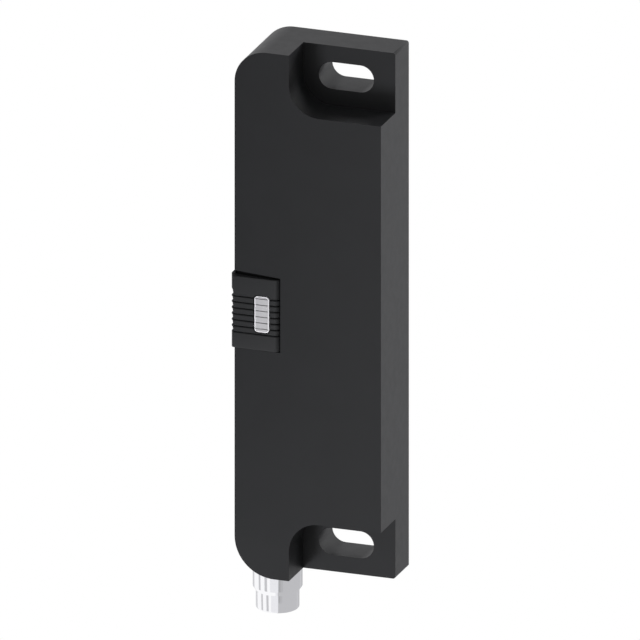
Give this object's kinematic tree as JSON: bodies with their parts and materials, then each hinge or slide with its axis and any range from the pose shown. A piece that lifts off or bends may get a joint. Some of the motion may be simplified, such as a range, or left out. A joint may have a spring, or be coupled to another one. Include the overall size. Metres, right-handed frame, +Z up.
{
  "type": "magnetic safety switch",
  "caption": "Slim upright magnetic safety switch with slotted lugs in corner pockets, a ribbed band with a light window, inner reed contacts and a plug connector below.",
  "frame": {"origin": "centre of the flat mounting face at the back of the housing", "axes": "+Z up along the housing's length, away from the plug connector; +Y out of the mounting face, so the sensing face looks along -Y; +X towards the slotted lugs"},
  "size_m": [0.0249, 0.0135, 0.0952],
  "materials": {
    "housing_plastic": "fine moulded texture",
    "cover_plastic": "satin",
    "band_plastic": "satin",
    "window_plastic": "clear, milky",
    "lamp_plastic": "clear",
    "board_laminate": "lacquered",
    "reed_glass": "clear greenish",
    "reed_metal": "plated",
    "magnet_ferrite": "sintered",
    "resistor_coating": "lacquered",
    "nickel": "polished nickel",
    "insert_plastic": "satin",
    "gold_plate": "gold plated",
    "seal_rubber": "matt",
    "casting_resin": "poured",
    "wire_brown": "smooth",
    "wire_white": "smooth",
    "wire_blue": "smooth",
    "wire_black": "smooth",
    "solder": "bright"
  },
  "bodies": {
    "switch": {"housing": "housing_plastic", "rear_cover": "cover_plastic", "marker_band": "band_plastic", "light_window": "window_plastic", "status_lamp": "lamp_plastic", "circuit_board": "board_laminate", "bias_magnet": "magnet_ferrite", "lamp_resistor": "resistor_coating", "open_reed_resistor": "resistor_coating", "closed_reed_resistor": "resistor_coating", "connector_sleeve": "nickel", "connector_insert": "insert_plastic", "sealing_ring": "seal_rubber", "resin_plug": "casting_resin", "solder_joints": "solder", "wire_1": "wire_brown", "wire_2": "wire_white", "wire_3": "wire_blue", "wire_4": "wire_black", "contact_pin_1": "gold_plate", "contact_pin_2": "gold_plate", "contact_pin_3": "gold_plate", "contact_pin_4": "gold_plate", "open_reed_tube": "reed_glass", "open_reed_lower_lead": "reed_metal", "open_reed_upper_lead": "reed_metal", "closed_reed_tube": "reed_glass", "closed_reed_lower_lead": "reed_metal", "closed_reed_upper_lead": "reed_metal"},
    "open_reed_lower_blade": {"open_reed_lower_blade": "reed_metal"},
    "open_reed_upper_blade": {"open_reed_upper_blade": "reed_metal"},
    "closed_reed_lower_blade": {"closed_reed_lower_blade": "reed_metal"},
    "closed_reed_upper_blade": {"closed_reed_upper_blade": "reed_metal"}
  },
  "joints": [
    {"name": "open_reed_lower_flex", "type": "hinge", "parent": "switch", "child": "open_reed_lower_blade", "pos_m": [0.0012, -0.00888, -0.00418], "axis": [1, 0, 0], "range_deg": [0, 1.03], "stiffness_Nm_per_rad": 0.00005},
    {"name": "open_reed_upper_flex", "type": "hinge", "parent": "switch", "child": "open_reed_upper_blade", "pos_m": [0.0012, -0.00922, 0.00418], "axis": [1, 0, 0], "range_deg": [0, 1.03], "stiffness_Nm_per_rad": 0.00005},
    {"name": "closed_reed_lower_flex", "type": "hinge", "parent": "switch", "child": "closed_reed_lower_blade", "pos_m": [0.0064, -0.00888, -0.00418], "axis": [1, 0, 0], "range_deg": [-1.03, 0], "stiffness_Nm_per_rad": 0.00005},
    {"name": "closed_reed_upper_flex", "type": "hinge", "parent": "switch", "child": "closed_reed_upper_blade", "pos_m": [0.0064, -0.00922, 0.00418], "axis": [1, 0, 0], "range_deg": [-1.03, 0], "stiffness_Nm_per_rad": 0.00005}
  ],
  "couplings": [
    {"joint": "open_reed_upper_flex", "follows": "open_reed_lower_flex", "ratio": 1},
    {"joint": "closed_reed_upper_flex", "follows": "closed_reed_lower_flex", "ratio": 1}
  ]
}
